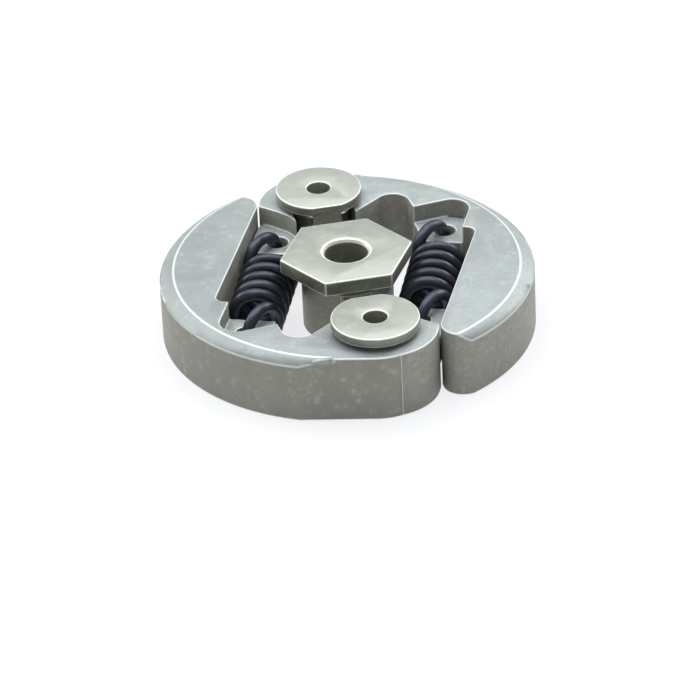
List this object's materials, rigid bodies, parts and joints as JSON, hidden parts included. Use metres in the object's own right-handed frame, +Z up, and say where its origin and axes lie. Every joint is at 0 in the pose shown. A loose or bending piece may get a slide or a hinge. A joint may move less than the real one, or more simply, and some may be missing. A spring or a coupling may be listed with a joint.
{
  "type": "centrifugal clutch",
  "caption": "Centrifugal clutch for a brush cutter: a threaded hexagon carrier whose posts hold swinging friction shoes, pulled in by tension springs.",
  "frame": {"origin": "on the clutch axis, in the plane that the posts rest on", "axes": "+Z up along the clutch axis towards the hexagon's side, posts on the Y axis, hexagon corners on the X axis"},
  "size_m": [0.077, 0.0768, 0.0175],
  "materials": {
    "carrier_steel": "machined, slightly worn",
    "sintered_steel": "fine-grained, matt",
    "spring_steel": "dark blued, glossy"
  },
  "bodies": {
    "carrier": {"carrier": "carrier_steel", "spring_left": "spring_steel", "spring_right": "spring_steel"},
    "front_shoe": {"shoe_front": "sintered_steel"},
    "rear_shoe": {"shoe_rear": "sintered_steel"}
  },
  "joints": [
    {"name": "front_shoe_swing", "type": "hinge", "parent": "carrier", "child": "front_shoe", "pos_m": [0, -0.0273, 0], "axis": [0, 0, 1], "range_deg": [0, 2], "stiffness_Nm_per_rad": 1, "springref_deg": -2.86, "deforming": ["spring_left", "spring_right"]},
    {"name": "rear_shoe_swing", "type": "hinge", "parent": "carrier", "child": "rear_shoe", "pos_m": [0, 0.0273, 0], "axis": [0, 0, 1], "range_deg": [0, 2], "stiffness_Nm_per_rad": 1, "springref_deg": -2.86, "deforming": ["spring_left", "spring_right"]}
  ]
}
